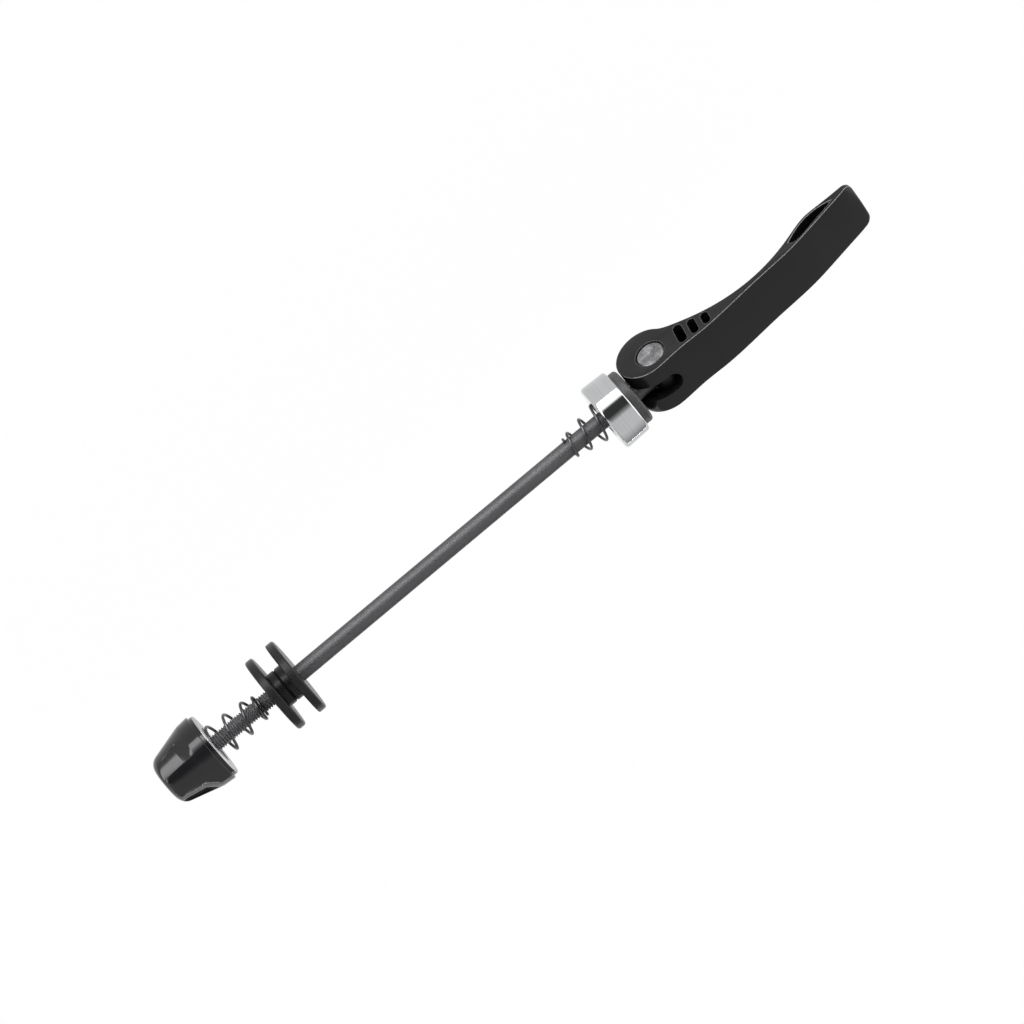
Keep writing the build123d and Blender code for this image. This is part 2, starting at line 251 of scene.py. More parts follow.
def grown(name, bm, tree, sizes, material, sharp_angle=smooth_angle):
    """Object that a tree makes from a bmesh, turned into a plain closed mesh."""
    made = solid(name, bm, material)
    modifier = made.modifiers.new(name, "NODES")
    modifier.node_group = tree
    for item in tree.interface.items_tree:
        if item.in_out == "INPUT" and item.name in sizes:
            modifier[item.identifier] = sizes[item.name]
        if item.name == "Finish":
            modifier[item.identifier] = material
    mesh = plain_mesh(made)
    bm = bmesh.new()
    bm.from_mesh(mesh)
    bmesh.ops.recalc_face_normals(bm, faces=bm.faces)
    bm.to_mesh(mesh)
    bm.free()
    mesh.shade_smooth()
    mesh.set_sharp_from_angle(angle=math.radians(sharp_angle))
    return made


spare_turns = 2
thread_turns = math.ceil((rod_tip_x - thread_start_x) / thread_pitch) + spare_turns
thread_sizes = {
    "Start": thread_start_x * mm,
    "End": rod_tip_x * mm,
    "Radius": rod_radius * mm,
    "Pitch": thread_pitch * mm,
    "Depth": thread_depth * mm,
    "Run Out": thread_run_out * mm,
    "Chamfer": rod_tip_chamfer * mm,
    "Turns": thread_turns,
    "Rows": thread_turns * thread_rows_per_turn + 1,
    "Columns": rod_columns + 1,
}
thread_tree, thread_in, thread_out = new_tree("rolled_thread", thread_sizes)
thread_grid = thread_tree.nodes.new("GeometryNodeMeshGrid")
thread_tree.links.new(thread_in["Rows"], thread_grid.inputs["Vertices X"])
thread_tree.links.new(thread_in["Columns"], thread_grid.inputs["Vertices Y"])
grid_place = thread_tree.nodes.new("ShaderNodeSeparateXYZ")
grid_position = thread_tree.nodes.new("GeometryNodeInputPosition").outputs[0]
thread_tree.links.new(grid_position, grid_place.inputs[0])
along_share = calc(thread_tree, "ADD", grid_place.outputs["X"], 0.5)
round_share = calc(thread_tree, "ADD", grid_place.outputs["Y"], 0.5)
winding = calc(thread_tree, "MULTIPLY", along_share, thread_in["Turns"])
turns_along = calc(thread_tree, "SUBTRACT", calc(thread_tree, "ADD", winding, round_share), 1.0)
thread_along = calc(thread_tree, "MULTIPLY_ADD", turns_along, thread_in["Pitch"], thread_in["Start"])
thread_along = calc(thread_tree, "MAXIMUM", thread_along, thread_in["Start"])
thread_along = calc(thread_tree, "MINIMUM", thread_along, thread_in["End"])
flank = calc(thread_tree, "MULTIPLY", calc(thread_tree, "PINGPONG", winding, 0.5), 2.0)
groove = thread_tree.nodes.new("ShaderNodeMapRange")
groove.inputs["From Min"].default_value = thread_crest_share
groove.inputs["From Max"].default_value = 1 - thread_crest_share
thread_tree.links.new(flank, groove.inputs["Value"])
from_start = calc(thread_tree, "SUBTRACT", thread_along, thread_in["Start"])
run_in = calc(thread_tree, "DIVIDE", from_start, thread_in["Run Out"])
run_in = calc(thread_tree, "MINIMUM", run_in, 1.0)
cut_share = calc(thread_tree, "MULTIPLY", groove.outputs[0], run_in)
cut_depth = calc(thread_tree, "MULTIPLY", cut_share, thread_in["Depth"])
thread_radius = calc(thread_tree, "SUBTRACT", thread_in["Radius"], cut_depth)
to_end = calc(thread_tree, "SUBTRACT", thread_in["End"], thread_along)
end_radius = calc(thread_tree, "SUBTRACT", thread_in["Radius"], thread_in["Chamfer"])
tip_radius = calc(thread_tree, "ADD", end_radius, to_end)
thread_radius = calc(thread_tree, "MINIMUM", thread_radius, tip_radius)
thread_angle = calc(thread_tree, "MULTIPLY", round_share, 2 * math.pi)
thread_shape = thread_tree.nodes.new("GeometryNodeSetPosition")
thread_tree.links.new(thread_grid.outputs["Mesh"], thread_shape.inputs["Geometry"])
thread_place = round_the_rod(thread_tree, thread_along, thread_radius, thread_angle)
thread_tree.links.new(thread_place, thread_shape.inputs["Position"])
# Painted light: the thread is stored for a lighter colour than the bar, lifting the shade in its grooves.
thread_painted_light = thread_tree.nodes.new("GeometryNodeStoreNamedAttribute")
thread_painted_light.inputs["Name"].default_value = "painted_light"
thread_painted_light.inputs["Value"].default_value = 1.0
thread_tree.links.new(thread_shape.outputs[0], thread_painted_light.inputs["Geometry"])
bar_and_thread = thread_tree.nodes.new("GeometryNodeJoinGeometry")
thread_tree.links.new(thread_in["Geometry"], bar_and_thread.inputs[0])
thread_tree.links.new(thread_painted_light.outputs[0], bar_and_thread.inputs[0])
finish_tree(thread_tree, bar_and_thread.outputs[0], thread_in["Finish"], thread_out)

# The rod's lighter second colour is painted light on the thread.
dark_rod = surface_finish(
    "dark_rod", (0.095, 0.095, 0.099), (0.118, 0.118, 0.122), 1.0, (0.55, 0.65), 0.7, 0.001,
    cloud=14.0, cloud_share=0.6, painted_tone=(0.21, 0.21, 0.215),
)
bare_end_x = thread_start_x - thread_pitch
bar_outline = [
    (rod_start_x, 0), (rod_start_x, rod_radius), (bare_end_x, rod_radius), (thread_start_x, rod_radius),
]
tip_outline = [(rod_tip_x, rod_radius - rod_tip_chamfer), (rod_tip_x, 0)]
rod_bar = revolved(bar_outline, even_angles(rod_columns))
revolved(tip_outline, even_angles(rod_columns), bm=rod_bar)
skewer_rod = grown("rod_with_thread", rod_bar, thread_tree, thread_sizes, dark_rod, thread_sharp_angle)
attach(skewer_rod, "rod")
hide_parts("skewer_rod")


# Pivot barrel: a round steel cross pin that the rod's end is fixed in, and the lever turns on.
# Its ends are cropped and chamfered, lie just inside the lever's flanks and carry a centre dimple; all
# between them gets painted shade.
barrel_low, barrel_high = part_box("pivot_barrel")
pivot_x = (barrel_low.x + barrel_high.x) / 2 / mm
barrel_radius = (barrel_high.x - barrel_low.x) / 2 / mm
barrel_half = barrel_high.y / mm
barrel_chamfer = 0.45
barrel_unshaded_end = 0.6
barrel_shade_edge = 0.1
barrel_dimple_radius = 0.8
barrel_dimple_depth = 0.4
barrel_bore_clearance = 0.02
barrel_columns = 72


def without(made, cutter):
    """Cuts one object out of another and deletes the cutter."""
    modifier = made.modifiers.new("cut", "BOOLEAN")
    modifier.object = cutter
    modifier.solver = "EXACT"
    plain_mesh(made)
    bpy.data.objects.remove(cutter)


# The barrel's near-black second colour is painted shade.
barrel_steel = surface_finish(
    "barrel_steel", (0.10, 0.10, 0.105), (0.36, 0.36, 0.37), 1.0, (0.30, 0.55), 0.5, 0.02,
    cloud=2.2, cloud_share=0.6, painted_tone=(0.03, 0.03, 0.031),
)
barrel_outline = []
for end in (-1, 1):
    half_outline = [
        (end * (barrel_half - barrel_dimple_depth), 0),
        (end * barrel_half, barrel_dimple_radius),
        (end * barrel_half, barrel_radius - barrel_chamfer),
        (end * (barrel_half - barrel_chamfer), barrel_radius),
        (end * (barrel_half - barrel_unshaded_end - barrel_shade_edge), barrel_radius),
    ]
    barrel_outline += half_outline[::-end]
barrel_skin = revolved(barrel_outline, even_angles(barrel_columns))
bmesh.ops.rotate(barrel_skin, verts=barrel_skin.verts, matrix=Matrix.Rotation(math.pi / 2, 3, "Z"))
bmesh.ops.translate(barrel_skin, verts=barrel_skin.verts, vec=(pivot_x * mm, 0, 0))
pivot_barrel = solid("barrel", barrel_skin, barrel_steel)
bore_radius = rod_radius + barrel_bore_clearance
bore_end_x = pivot_x + 2 * barrel_radius
bore_skin = revolved(
    [(rod_start_x, 0), (rod_start_x, bore_radius), (bore_end_x, bore_radius), (bore_end_x, 0)],
    even_angles(rod_columns),
)
without(pivot_barrel, solid("bore", bore_skin, barrel_steel))
# Painted shade: a near-black colour on all of the barrel but a short length at each end.
painted_shade = pivot_barrel.data.attributes.new("painted_light", "FLOAT", "POINT")
for vert in pivot_barrel.data.vertices:
    painted_shade.data[vert.index].value = float(abs(vert.co.y) / mm < barrel_half - barrel_unshaded_end)
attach(pivot_barrel, "rod")
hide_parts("pivot_barrel")


# Lever: one black painted casting, with the round cam at its head and a finger eye near its tip.
# It is forked round the rod, has three slots through its neck, and all its edges are eased.
lever_section_y = 5.0
lever_edge = 0.3
lever_crown = 0.6
lever_crown_depth = 0.6
crown_fade_start = 2.0
crown_fade_run = 8.0
lever_strips = 12
lever_tip_corner = 2.4
tip_corner_steps = 6
# Painted highlight: a light colour on the edge bevel's rings that face the front light, full along the
# crown's edges and near the tip, faint on the other edges.
highlight_tip_run = 28.0
highlight_from = 0.02
highlight_to = 0.45
faint_highlight = 0.25
lever_straight_angle = 0.2
lever_corner_angle = 35
outline_margin = 0.02
lever_curve_steps = 6
lever_edge_steps = 3
fork_width = 5.7
fork_reach = 12.0
fork_columns = 24

# Its light second colour is a painted highlight on the edges.
lever_black = surface_finish(
    "lever_black", (0.004, 0.004, 0.0045), (0.007, 0.007, 0.0075), 0.0, (0.17, 0.25), 0.3, 0.00015,
    cloud=11.0, specular=0.24, painted_tone=(0.13, 0.13, 0.13),
)
lever_low, lever_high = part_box("lever")
lever_half = lever_high.y / mm
lever_tip_x = lever_low.x / mm


def section_loops(node, y):
    """Outlines of a CAD node cut at a distance across the rod, as closed loops of (x, z) points.
    Each loop starts at its lowest x and runs the same way round, so that every run gives the same mesh."""
    bm = bmesh.new()
    bm.from_mesh(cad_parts[node].data)
    bmesh.ops.remove_doubles(bm, verts=bm.verts, dist=merge_distance)
    everything = bm.verts[:] + bm.edges[:] + bm.faces[:]
    cut = bmesh.ops.bisect_plane(bm, geom=everything, plane_co=(0, y * mm, 0), plane_no=(0, 1, 0))
    cut_edges = [item for item in cut["geom_cut"] if isinstance(item, bmesh.types.BMEdge)]
    loops = []
    while cut_edges:
        edge = cut_edges.pop()
        loop = [edge.verts[0], edge.verts[1]]
        while loop[-1] is not loop[0]:
            edge = next(item for item in loop[-1].link_edges if item in cut_edges)
            cut_edges.remove(edge)
            loop.append(edge.other_vert(loop[-1]))
        points = [Vector((vert.co.x, vert.co.z)) for vert in loop[:-1]]
        start = min(range(len(points)), key=lambda index: points[index].x)
        points = points[start:] + points[:start]
        if (points[1] - points[0]).angle_signed(points[-1] - points[0]) > 0:
            points = points[:1] + points[:0:-1]
        loops.append(points)
    bm.free()
    return sorted(loops, key=lambda loop: loop[0].x)


def turn_at(loop, index):
    """Angle in degrees that a loop turns through at one of its points."""
    arriving = loop[index] - loop[index - 1]
    leaving = loop[(index + 1) % len(loop)] - loop[index]
    return abs(math.degrees(arriving.angle_signed(leaving)))


def crown_height(x):
    """Height of the lever's top edge at a distance along the rod, from the section's outer loop."""
    margin = outline_margin * mm
    x = min(max(x, lever_low.x + margin), lever_high.x - margin)
    if x in crown_heights:
        return crown_heights[x]
    outer = max(lever_loops, key=len)
    heights = []
    for first, last in zip(outer, outer[1:] + outer[:1]):
        if min(first.x, last.x) <= x <= max(first.x, last.x) and first.x != last.x:
            heights.append(first.y + (last.y - first.y) * (x - first.x) / (last.x - first.x))
    crown_heights[x] = max(heights, default=-math.inf)
    return crown_heights[x]


def smooth_step(share):
    """Share from 0 to 1, eased at both ends."""
    share = min(1, max(0, share))
    return share * share * (3 - 2 * share)


lever_curve = bpy.data.curves.new("lever_outline", "CURVE")
lever_curve.dimensions = "2D"
lever_curve.fill_mode = "BOTH"
lever_curve.resolution_u = lever_curve_steps
lever_curve.bevel_depth = lever_edge * mm
lever_curve.bevel_resolution = lever_edge_steps
lever_curve.extrude = (lever_half - lever_edge) * mm
lever_curve.offset = -lever_edge * mm
lever_loops = section_loops("lever", lever_section_y)
for loop in lever_loops:
    loop = [point for index, point in enumerate(loop) if turn_at(loop, index) > lever_straight_angle]
    spline = lever_curve.splines.new("BEZIER")
    spline.use_cyclic_u = True
    spline.bezier_points.add(len(loop) - 1)
    for index, (knot, point) in enumerate(zip(spline.bezier_points, loop)):
        knot.co = (*point, 0)
        handle = "VECTOR" if turn_at(loop, index) > lever_corner_angle else "AUTO"
        knot.handle_left_type = knot.handle_right_type = handle
lever_blank = bpy.data.objects.new("lever_blank", lever_curve)
bpy.context.scene.collection.objects.link(lever_blank)
lever_shape = lever_blank.evaluated_get(bpy.context.evaluated_depsgraph_get())
lever_mesh = bpy.data.meshes.new_from_object(lever_shape)
bpy.data.objects.remove(lever_blank)
lever_skin = bmesh.new()
lever_skin.from_mesh(lever_mesh)
bmesh.ops.rotate(lever_skin, verts=lever_skin.verts, matrix=Matrix.Rotation(math.pi / 2, 3, "X"))
across_edges = []
for edge in lever_skin.edges:
    if abs(edge.verts[0].co.y - edge.verts[1].co.y) > lever_half * mm:
        across_edges.append(edge)
bmesh.ops.subdivide_edges(lever_skin, edges=across_edges, cuts=lever_strips - 1, use_grid_fill=True)
for step in range(tip_corner_steps):
    cut_x = lever_tip_x + lever_tip_corner * (1 - step / tip_corner_steps)
    everything = lever_skin.verts[:] + lever_skin.edges[:] + lever_skin.faces[:]
    bmesh.ops.bisect_plane(
        lever_skin, geom=everything, dist=merge_distance, plane_co=(cut_x * mm, 0, 0), plane_no=(1, 0, 0)
    )
crown_heights = {}
# Painted highlight along the edge bevels: full near the crown and the tip, faint elsewhere.
painted_highlight = lever_skin.verts.layers.float.new("painted_light")
for vert in lever_skin.verts:
    from_flank = lever_half - abs(vert.co.y) / mm
    depth = (crown_height(vert.co.x) - vert.co.z) / mm
    full_highlight = depth < lever_edge or vert.co.x < lever_low.x + highlight_tip_run * mm
    if highlight_from * lever_edge < from_flank < highlight_to * lever_edge:
        vert[painted_highlight] = 1 if full_highlight else faint_highlight
    past_head = smooth_step((pivot_x + crown_fade_start - vert.co.x / mm) / crown_fade_run)
    on_crown = max(0, 1 - depth / lever_crown_depth) * past_head
    vert.co.z += lever_crown * mm * on_crown * (1 - (vert.co.y / mm / lever_half) ** 2)
    before_corner = max(0, lever_tip_corner - (vert.co.x / mm - lever_tip_x))
    inset = lever_tip_corner - math.sqrt(max(0, lever_tip_corner**2 - before_corner**2))
    vert.co.y *= 1 - inset / lever_half
lever = solid("cam_lever", lever_skin, lever_black)

fork_outline = [(fork_reach, -fork_width / 2), (fork_reach, fork_width / 2)]
for step in range(fork_columns + 1):
    angle = math.pi / 2 + math.pi * step / fork_columns
    fork_outline.append((fork_width / 2 * math.cos(angle), fork_width / 2 * math.sin(angle)))
fork_skin = bmesh.new()
fork_floor = fork_skin.faces.new(
    [fork_skin.verts.new(((pivot_x + x) * mm, y * mm, -fork_reach * mm)) for x, y in fork_outline]
)
fork_sides = bmesh.ops.extrude_face_region(fork_skin, geom=[fork_floor])
fork_top = [item for item in fork_sides["geom"] if isinstance(item, bmesh.types.BMVert)]
bmesh.ops.translate(fork_skin, verts=fork_top, vec=(0, 0, 2 * fork_reach * mm))
without(lever, solid("fork", fork_skin, lever_black))
lever.data.shade_smooth()
lever.data.set_sharp_from_angle(angle=math.radians(smooth_angle))
lever_normals = lever.modifiers.new("even_gloss", "WEIGHTED_NORMAL")
lever_normals.keep_sharp = True
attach(lever, "lever")
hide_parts("lever")


# Clamp cup: a steel ring, turned and chrome plated, whose flat face bears on the frame's dropout.
# It is hollow behind for the saddle, and its face has a shallow seat for the spring.
cup_back_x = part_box("clamp_cup")[0].x / mm
cup_face_radius = 10.6
cup_back_radius = 10.25
cup_face_edge = 1.1
cup_back_edge = 0.75
cup_inner_edge = 0.2
cup_floor = 2.6
cup_seat_depth = 0.8
cup_seat_radius = 6.05
cup_pocket_radius = 8.8
running_radius = 2.58
cup_columns = 144

plated_cup = surface_finish(
    "plated_cup", (0.46, 0.465, 0.475), (0.54, 0.545, 0.555), 1.0, (0.05, 0.12), 0.35, 0.0002, turned=True
)
cup_outline = rounded([
    (-cup_seat_depth, running_radius, 0),
    (-cup_seat_depth, cup_seat_radius, 0),
    (0, cup_seat_radius, cup_inner_edge),
    (0, cup_face_radius, cup_face_edge),
    (cup_back_x, cup_back_radius, cup_back_edge),
    (cup_back_x, cup_pocket_radius, cup_inner_edge),
    (-cup_floor, cup_pocket_radius, 0),
    (-cup_floor, running_radius, 0),
], steps=8)
clamp_cup = solid("cup", revolved(cup_outline, even_angles(cup_columns), closed=True), plated_cup)
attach(clamp_cup, "cup")
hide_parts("clamp_cup")


# Cam saddle: a moulded plug of dark plastic, bored for the rod, which the lever's cam slides on.
# It is pressed into the hollow of the cup, and its rounded rim stands out on the lever's side.
saddle_low, saddle_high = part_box("cam_saddle")
saddle_radius = saddle_high.y / mm
saddle_face_x = saddle_low.x / mm
saddle_back_x = saddle_high.x / mm
saddle_edge = 1.0
saddle_inner_edge = 0.2

saddle_plastic = surface_finish(
    "saddle_plastic", (0.022, 0.022, 0.023), (0.040, 0.040, 0.041), 0.0, (0.42, 0.58), 0.3, 0.012
)
saddle_outline = rounded([
    (saddle_face_x, running_radius, saddle_inner_edge),
    (saddle_face_x, saddle_radius, saddle_edge),
    (saddle_back_x, saddle_radius, saddle_inner_edge),
    (saddle_back_x, running_radius, saddle_inner_edge),
])
saddle_skin = revolved(saddle_outline, even_angles(cup_columns), closed=True)
cam_saddle = solid("saddle", saddle_skin, saddle_plastic)
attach(cam_saddle, "cup")
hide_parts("cam_saddle")


# Springs: two left-handed cones of dark spring wire, each with closed turns at its small end.
# The small end runs just clear of the rod, and the big end sits in the cup's or the nut's seat.
spring_small_clearance = 0.15
spring_closed_pitch = 1.1
spring_points = 193
spring_wire_sides = 14
spring_steel = surface_finish(
    "spring_steel", (0.05, 0.05, 0.053), (0.11, 0.11, 0.115), 1.0, (0.26, 0.42), 0.4, 0.004
)
spring_labels = (
    "Small End", "Big End", "Small Radius", "Big Radius", "Flare",
    "Wire", "Closed Run", "Closed Turns", "Open Turns", "Start Angle",
)
spring_tree, spring_in, spring_out = new_tree(
    "conical_spring", {**{label: 0.0 for label in spring_labels}, "Points": 0}
)
wire_line = spring_tree.nodes.new("GeometryNodeCurvePrimitiveLine")
wire_points = spring_tree.nodes.new("GeometryNodeResampleCurve")
spring_tree.links.new(wire_line.outputs[0], wire_points.inputs["Curve"])
spring_tree.links.new(spring_in["Points"], wire_points.inputs["Count"])
wire_share = spring_tree.nodes.new("GeometryNodeSplineParameter").outputs["Factor"]
all_turns = calc(spring_tree, "ADD", spring_in["Closed Turns"], spring_in["Open Turns"])
wire_turn = calc(spring_tree, "MULTIPLY", wire_share, all_turns)
past_closed = calc(spring_tree, "SUBTRACT", wire_turn, spring_in["Closed Turns"])
past_closed = calc(spring_tree, "MAXIMUM", past_closed, 0.0)
opened = calc(spring_tree, "DIVIDE", past_closed, spring_in["Open Turns"])
in_closed = calc(spring_tree, "MINIMUM", wire_turn, spring_in["Closed Turns"])
closed_share = calc(spring_tree, "DIVIDE", in_closed, spring_in["Closed Turns"])
end_to_end = calc(spring_tree, "SUBTRACT", spring_in["Big End"], spring_in["Small End"])
heading = calc(spring_tree, "SIGN", end_to_end)
open_run = calc(spring_tree, "SUBTRACT", calc(spring_tree, "ABSOLUTE", end_to_end), spring_in["Wire"])
open_run = calc(spring_tree, "SUBTRACT", open_run, spring_in["Closed Run"])
wire_run = calc(spring_tree, "MULTIPLY", spring_in["Wire"], 0.5)
wire_run = calc(spring_tree, "MULTIPLY_ADD", spring_in["Closed Run"], closed_share, wire_run)
wire_run = calc(spring_tree, "MULTIPLY_ADD", open_run, opened, wire_run)
wire_along = calc(spring_tree, "MULTIPLY_ADD", wire_run, heading, spring_in["Small End"])
closed_half = calc(spring_tree, "MULTIPLY", spring_in["Closed Turns"], 0.5)
widened = calc(spring_tree, "MAXIMUM", calc(spring_tree, "SUBTRACT", wire_turn, closed_half), 0.0)
widened = calc(spring_tree, "DIVIDE", widened, calc(spring_tree, "SUBTRACT", all_turns, closed_half))
widened = calc(spring_tree, "POWER", widened, spring_in["Flare"])
cone_width = calc(spring_tree, "SUBTRACT", spring_in["Big Radius"], spring_in["Small Radius"])
wire_radius = calc(spring_tree, "MULTIPLY_ADD", cone_width, widened, spring_in["Small Radius"])
wire_angle = calc(spring_tree, "MULTIPLY", wire_turn, heading)
wire_angle = calc(spring_tree, "MULTIPLY", wire_angle, -2 * math.pi)
wire_angle = calc(spring_tree, "ADD", wire_angle, spring_in["Start Angle"])
wire_path = spring_tree.nodes.new("GeometryNodeSetPosition")
spring_tree.links.new(wire_points.outputs[0], wire_path.inputs["Geometry"])
wire_place = round_the_rod(spring_tree, wire_along, wire_radius, wire_angle)
spring_tree.links.new(wire_place, wire_path.inputs["Position"])
wire_section = spring_tree.nodes.new("GeometryNodeCurvePrimitiveCircle")
wire_section.inputs["Resolution"].default_value = spring_wire_sides
wire_half = calc(spring_tree, "MULTIPLY", spring_in["Wire"], 0.5)
spring_tree.links.new(wire_half, wire_section.inputs["Radius"])
wire_skin = spring_tree.nodes.new("GeometryNodeCurveToMesh")
wire_skin.inputs["Fill Caps"].default_value = True
spring_tree.links.new(wire_path.outputs[0], wire_skin.inputs["Curve"])
spring_tree.links.new(wire_section.outputs[0], wire_skin.inputs["Profile Curve"])
finish_tree(spring_tree, wire_skin.outputs[0], spring_in["Finish"], spring_out)

for name, node, body, wire, big_radius, flare, closed_turns, open_turns, start_angle, small_first in (
    ("cup_side_spring", "cup_spring", "cup", 0.8, 5.5, 1.0, 0.85, 2.41, 176, False),
    ("nut_side_spring", "nut_spring", "nut_carriage", 0.85, 5.3, 0.65, 1.34, 2.72, 160, True),
):
    spring_low, spring_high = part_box(node)
    ends = (spring_low.x, spring_high.x) if small_first else (spring_high.x, spring_low.x)
    spring_sizes = {
        "Small End": ends[0],
        "Big End": ends[1],
        "Small Radius": (rod_radius + spring_small_clearance + wire / 2) * mm,
        "Big Radius": big_radius * mm,
        "Flare": flare,
        "Wire": wire * mm,
        "Closed Run": closed_turns * spring_closed_pitch * wire * mm,
        "Closed Turns": closed_turns,
        "Open Turns": open_turns,
        "Start Angle": math.radians(start_angle),
        "Points": spring_points,
    }
    spring = grown(name, bmesh.new(), spring_tree, spring_sizes, spring_steel)
    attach(spring, body)
    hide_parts(node)


# Transport spool: two black turned halves back to back on the rod, with a groove between their flanges.
# The half next to the nut is plain, with fine turning rings left on the face in the groove.
spool_radius = 12.0
spool_edge = 0.7
spool_hub_radius = 5.5
spool_hub_chamfer = 0.4
spool_hub_fillet = 0.25
spool_bore_edge = 0.15
spool_flange = 2.6
spool_columns = 160
spool_groove_half = 2.45
spool_black = surface_finish(
    "spool_black", (0.008, 0.008, 0.0085), (0.013, 0.013, 0.0135), 0.0, (0.28, 0.40), 0.25, 0.004,
    turned=True, specular=0.17,
)


def spool_half_outline(flange_x, towards_middle, groove_edge):
    """Section of a spool half from its bore, out over the flange and back along the hub to the joint."""
    groove_x = flange_x + towards_middle * spool_flange
    joint_x = groove_x + towards_middle * spool_groove_half
    return rounded([
        (flange_x, running_radius, spool_bore_edge),
        (flange_x, spool_radius, spool_edge),
        (groove_x, spool_radius, groove_edge),
        (groove_x, spool_hub_radius, spool_hub_fillet),
        (joint_x - towards_middle * spool_hub_chamfer, spool_hub_radius, 0),
        (joint_x, spool_hub_radius - spool_hub_chamfer, 0),
        (joint_x, running_radius, 0),
    ])


outer_half_end_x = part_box("outer_spool_half")[1].x / mm
outer_half_outline = spool_half_outline(outer_half_end_x, -1, spool_edge)
outer_half_skin = revolved(outer_half_outline, even_angles(spool_columns), closed=True)
outer_half = solid("spool_half_plain", outer_half_skin, spool_black)
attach(outer_half, "spool")
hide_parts("outer_spool_half")


# Serrated spool half: the same black turning, next to the lever and free on the rod with its twin.
# Radial notches are milled across its face in the groove.
serration_count = 80
serration_depth = 0.4
serration_half_width = 0.25
serrated_edge = 0.35
serration_start = 6.0
serration_middle = 8.5
serration_step = 1e-4
serration_sharp_angle = 30
same_place = 1e-6
notch_limit = 0.999
notch_sides = (-1, -0.5, 0, 0.5, 1)
inner_half_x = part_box("inner_spool_half")[0].x / mm
serrated_x = inner_half_x + spool_flange
half_pitch = math.pi / serration_count
inner_half_outline = spool_half_outline(inner_half_x, 1, serrated_edge)
notch_rows = []
followers = inner_half_outline[1:] + inner_half_outline[:1]
for (along, radius), (next_along, next_radius) in zip(inner_half_outline, followers):
    notch_rows.append((along, radius))
    on_face = max(abs(along - serrated_x), abs(next_along - serrated_x)) < same_place
    if on_face and radius > next_radius:
        for row_radius in (serration_middle, serration_start, serration_start - serration_step):
            notch_rows.append((along, row_radius))
tooth_skin = bmesh.new()
tooth_rings = []
for along, radius in notch_rows:
    ring = []
    for side in notch_sides:
        if abs(side) == 1:
            angle = side * half_pitch
        else:
            angle = side * 2 * min(half_pitch * notch_limit, serration_half_width / radius)
        notch_floor = serrated_x - serration_depth * (1 - abs(angle) * radius / serration_half_width)
        notched = radius >= serration_start and along > serrated_x - serration_depth - serrated_edge
        height = min(along, notch_floor) if notched else along
        place = Vector((height, radius * math.cos(angle), radius * math.sin(angle))) * mm
        ring.append(tooth_skin.verts.new(place))
    tooth_rings.append(ring)
for ring, follower in zip(tooth_rings, tooth_rings[1:] + tooth_rings[:1]):
    for column in range(len(notch_sides) - 1):
        tooth_skin.faces.new((ring[column], ring[column + 1], follower[column + 1], follower[column]))

tooth_sizes = {"Count": serration_count}
tooth_tree, tooth_in, tooth_out = new_tree("serrated_flange", tooth_sizes)
tooth_points = tooth_tree.nodes.new("GeometryNodePoints")
tooth_tree.links.new(tooth_in["Count"], tooth_points.inputs["Count"])
tooth_step = calc(tooth_tree, "DIVIDE", 2 * math.pi, tooth_in["Count"])
tooth_index = tooth_tree.nodes.new("GeometryNodeInputIndex").outputs[0]
tooth_angle = calc(tooth_tree, "MULTIPLY", tooth_index, tooth_step)
tooth_turn = tooth_tree.nodes.new("ShaderNodeCombineXYZ")
tooth_tree.links.new(tooth_angle, tooth_turn.inputs["X"])
tooth_ring = tooth_tree.nodes.new("GeometryNodeInstanceOnPoints")
tooth_tree.links.new(tooth_points.outputs[0], tooth_ring.inputs["Points"])
tooth_tree.links.new(tooth_in["Geometry"], tooth_ring.inputs["Instance"])
tooth_tree.links.new(tooth_turn.outputs[0], tooth_ring.inputs["Rotation"])
finish_tree(tooth_tree, tooth_ring.outputs[0], tooth_in["Finish"], tooth_out)
inner_half = grown(
    "spool_half_serrated", tooth_skin, tooth_tree, tooth_sizes, spool_black, serration_sharp_angle
)
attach(inner_half, "spool")
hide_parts("inner_spool_half")


# Nut insert: a turned steel bush that carries the nut's thread, with a flange that bears on the frame.
# The hexagon behind its flange is held in the cap, and its face has a seat for the spring.
nut_low, nut_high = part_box("nut_insert")
insert_face_x = nut_low.x / mm
insert_end_x = nut_high.x / mm
insert_radius = nut_high.y / mm
insert_flange = 1.9
insert_edge = 0.3
insert_seat_radius = 5.875
insert_seat_depth = 0.8
hex_corner_radius = 6.2
hex_columns = 96


def hexagon(corner_radius):
    """Radius of a hexagon by angle, with a corner on the first direction."""
    def radius(angle):
        from_corner = angle % (math.pi / 3) - math.pi / 6
        return corner_radius * math.cos(math.pi / 6) / math.cos(from_corner)
    return radius


insert_steel = surface_finish(
    "insert_steel", (0.36, 0.36, 0.37), (0.52, 0.52, 0.53), 1.0, (0.32, 0.46), 0.2, 0.006, turned=True
)
insert_back_x = insert_face_x + insert_flange
insert_outline = [
    (insert_face_x + insert_seat_depth, running_radius),
    (insert_face_x + insert_seat_depth, insert_seat_radius),
    (insert_face_x, insert_seat_radius),
    (insert_face_x, insert_radius - insert_edge),
    (insert_face_x + insert_edge, insert_radius),
    (insert_back_x, insert_radius),
    (insert_back_x, hexagon(hex_corner_radius)),
    (insert_end_x, hexagon(hex_corner_radius)),
    (insert_end_x, running_radius),
]
insert_skin = revolved(insert_outline, even_angles(hex_columns), closed=True)
nut_insert = solid("insert", insert_skin, insert_steel)
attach(nut_insert, "nut")
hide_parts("nut_insert")


